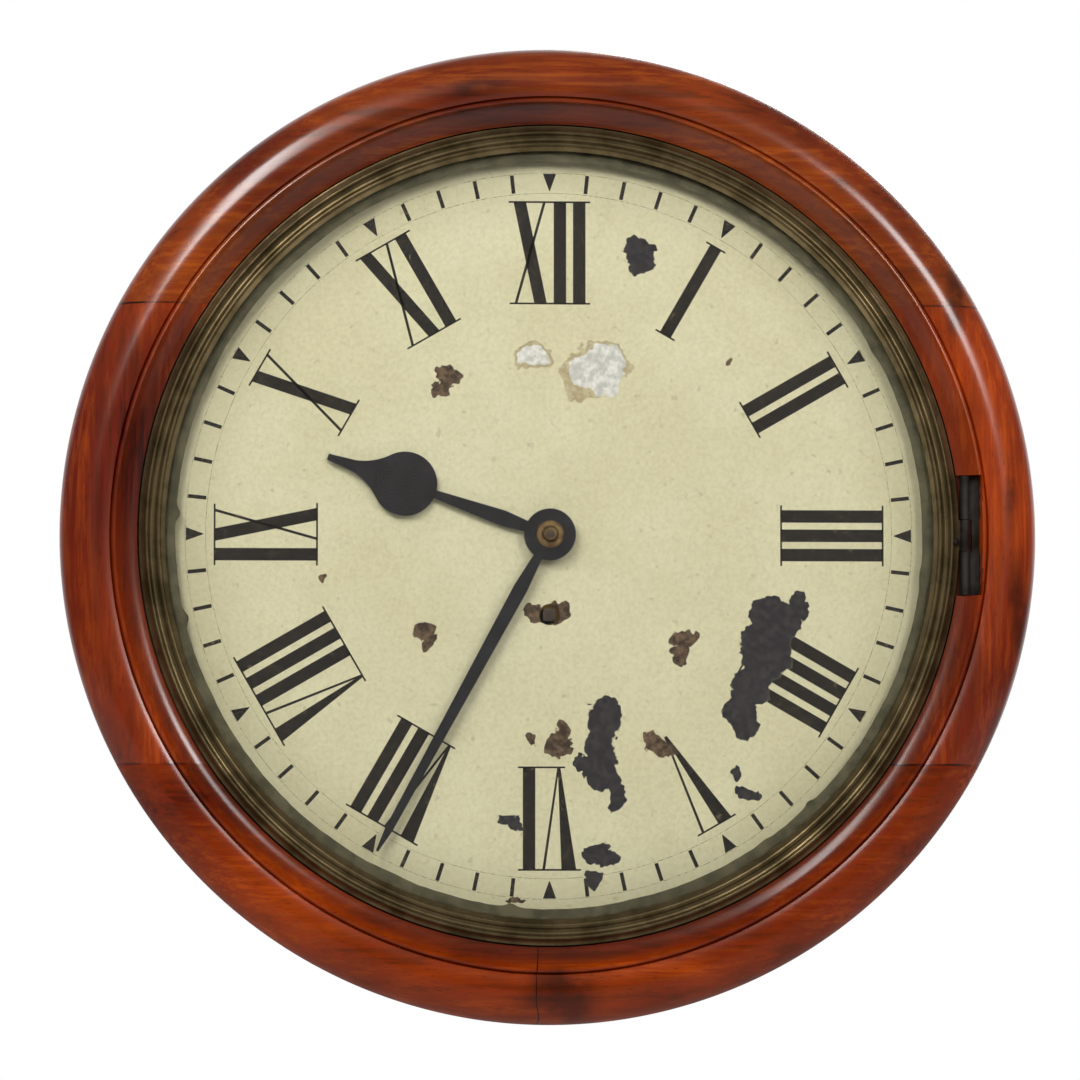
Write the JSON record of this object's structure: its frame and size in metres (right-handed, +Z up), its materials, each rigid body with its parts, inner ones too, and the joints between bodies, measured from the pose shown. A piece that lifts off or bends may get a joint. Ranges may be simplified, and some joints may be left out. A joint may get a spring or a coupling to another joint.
{
  "type": "dial clock",
  "caption": "Round wall clock: wooden surround and box, painted dial under a hinged domed bezel, spring-driven pendulum movement.",
  "frame": {"origin": "on the dial's axis at the wall, in the backboard's rear face", "axes": "+X to the right of someone who looks at the dial, +Y into the wall, +Z up"},
  "size_m": [0.383, 0.1272, 0.383],
  "materials": {
    "mahogany": "polished mahogany, red-brown, worn",
    "case_wood": "stained mahogany boards",
    "backboard_wood": "plain unpolished softwood",
    "old_brass": "dull brass, browned with age",
    "clock_brass": "clean brass",
    "dial_paint": "cream paint on sheet iron, chipped",
    "hand_steel": "blued steel, nearly black",
    "steel": "polished steel",
    "iron": "dark iron",
    "glass": "clear domed glass",
    "putty": "grey-green hardened putty",
    "gut": "twisted gut line"
  },
  "bodies": {
    "case": {"surround_top": "mahogany", "surround_bottom": "mahogany", "surround_left": "mahogany", "surround_right": "mahogany", "surround_blocks": "backboard_wood", "case_pegs": "case_wood", "box_left_side": "case_wood", "box_right_side": "case_wood", "box_top": "case_wood", "box_bottom": "case_wood", "backboard": "backboard_wood", "hanging_plate": "iron", "wood_screws": "iron", "side_door_fixed_leaves": "clock_brass", "bottom_door_fixed_leaves": "clock_brass", "dial_plate": "dial_paint", "dial_feet": "clock_brass", "bezel_hinge_plate": "old_brass", "front_plate": "clock_brass", "back_plate": "clock_brass", "plate_pillars": "clock_brass", "taper_pins": "steel", "hour_bridge": "clock_brass", "back_cock": "clock_brass", "barrel_arbor": "steel", "mainspring": "steel", "setup_work": "steel", "fusee_line": "gut"},
    "bezel": {"bezel_ring": "old_brass", "dial_glass": "glass", "glass_putty": "putty", "bezel_hinge_knuckle": "old_brass", "bezel_catch": "old_brass"},
    "side_door": {"side_door": "case_wood", "side_door_knob": "clock_brass", "side_door_moving_leaves": "clock_brass"},
    "bottom_door": {"bottom_door": "case_wood", "bottom_door_moving_leaves": "clock_brass"},
    "centre": {"centre_arbor": "steel", "centre_wheel": "clock_brass"},
    "third": {"third_arbor": "steel", "third_wheel": "clock_brass"},
    "escape": {"escape_arbor": "steel", "escape_wheel": "clock_brass"},
    "anchor": {"pallet_anchor": "steel", "crutch": "steel"},
    "great": {"great_wheel": "clock_brass"},
    "fusee": {"fusee": "clock_brass", "fusee_arbor": "steel"},
    "barrel": {"barrel": "clock_brass"},
    "minute": {"cannon_pinion": "clock_brass", "minute_hand": "hand_steel", "hand_collet": "old_brass"},
    "minute_wheel": {"minute_wheel": "clock_brass"},
    "hour": {"hour_wheel": "clock_brass", "hour_hand": "hand_steel"},
    "pendulum": {"suspension_spring": "steel", "pendulum_rod": "steel"},
    "bob": {"pendulum_bob": "clock_brass"},
    "nut": {"rating_nut": "clock_brass"}
  },
  "joints": [
    {"name": "bezel_swing", "type": "hinge", "parent": "case", "child": "bezel", "pos_m": [0.163, -0.1163, 0], "axis": [0, 0, 1], "range_deg": [0, 105]},
    {"name": "side_door_swing", "type": "hinge", "parent": "case", "child": "side_door", "pos_m": [0.114, -0.016, 0], "axis": [0, 0, 1], "range_deg": [0, 95]},
    {"name": "bottom_door_swing", "type": "hinge", "parent": "case", "child": "bottom_door", "pos_m": [-0.045, -0.049, -0.1523], "axis": [0, 1, 0], "range_deg": [0, 95]},
    {"name": "pendulum_swing", "type": "hinge", "parent": "case", "child": "pendulum", "pos_m": [0, -0.028, 0.0702], "axis": [0, 1, 0], "range_deg": [-3, 3]},
    {"name": "anchor_rock", "type": "hinge", "parent": "case", "child": "anchor", "pos_m": [0, -0.069, 0.0702], "axis": [0, 1, 0], "range_deg": [-3, 3]},
    {"name": "escape_turn", "type": "hinge", "parent": "case", "child": "escape", "pos_m": [0, -0.069, 0.04757], "axis": [0, 1, 0], "range_deg": [-3, 3]},
    {"name": "third_turn", "type": "hinge", "parent": "case", "child": "third", "pos_m": [0.01089, -0.069, 0.02504], "axis": [0, 1, 0], "range_deg": [-0.3, 0.3]},
    {"name": "centre_turn", "type": "hinge", "parent": "case", "child": "centre", "pos_m": [0, -0.069, 0], "axis": [0, 1, 0], "range_deg": [-0.03, 0.03]},
    {"name": "great_turn", "type": "hinge", "parent": "case", "child": "great", "pos_m": [0, -0.052, -0.0312], "axis": [0, 1, 0], "range_deg": [-0.01, 0.01]},
    {"name": "winding_turn", "type": "hinge", "parent": "great", "child": "fusee", "pos_m": [0, -0.069, -0.0312], "axis": [0, 1, 0], "range_deg": [-2160, 2160]},
    {"name": "barrel_turn", "type": "hinge", "parent": "case", "child": "barrel", "pos_m": [-0.03774, -0.069, -0.07311], "axis": [0, 1, 0], "range_deg": [-1270, 1270]},
    {"name": "minute_hand_turn", "type": "hinge", "parent": "centre", "child": "minute", "pos_m": [0, -0.105, 0], "axis": [0, 1, 0], "continuous": true},
    {"name": "minute_wheel_turn", "type": "hinge", "parent": "case", "child": "minute_wheel", "pos_m": [0.026, -0.1, 0], "axis": [0, 1, 0], "continuous": true},
    {"name": "hour_hand_turn", "type": "hinge", "parent": "case", "child": "hour", "pos_m": [0, -0.105, 0], "axis": [0, 1, 0], "continuous": true},
    {"name": "bob_slide", "type": "slide", "parent": "pendulum", "child": "bob", "axis": [0, 0, 1], "range_m": [-0.003, 0.003]},
    {"name": "nut_turn", "type": "hinge", "parent": "bob", "child": "nut", "pos_m": [0, -0.028, -0.1294], "axis": [0, 0, 1], "range_deg": [-1360, 1360]}
  ],
  "couplings": [
    {"joint": "anchor_rock", "follows": "pendulum_swing", "ratio": 1},
    {"joint": "escape_turn", "follows": "pendulum_swing", "ratio": 1},
    {"joint": "third_turn", "follows": "pendulum_swing", "ratio": -0.083333},
    {"joint": "centre_turn", "follows": "pendulum_swing", "ratio": 0.0069444},
    {"joint": "great_turn", "follows": "pendulum_swing", "ratio": -0.0005787},
    {"joint": "barrel_turn", "follows": "winding_turn", "ratio": 0.586},
    {"joint": "minute_wheel_turn", "follows": "minute_hand_turn", "ratio": -1},
    {"joint": "hour_hand_turn", "follows": "minute_hand_turn", "ratio": 0.083333},
    {"joint": "nut_turn", "follows": "bob_slide", "rad_per_m": 7854}
  ]
}
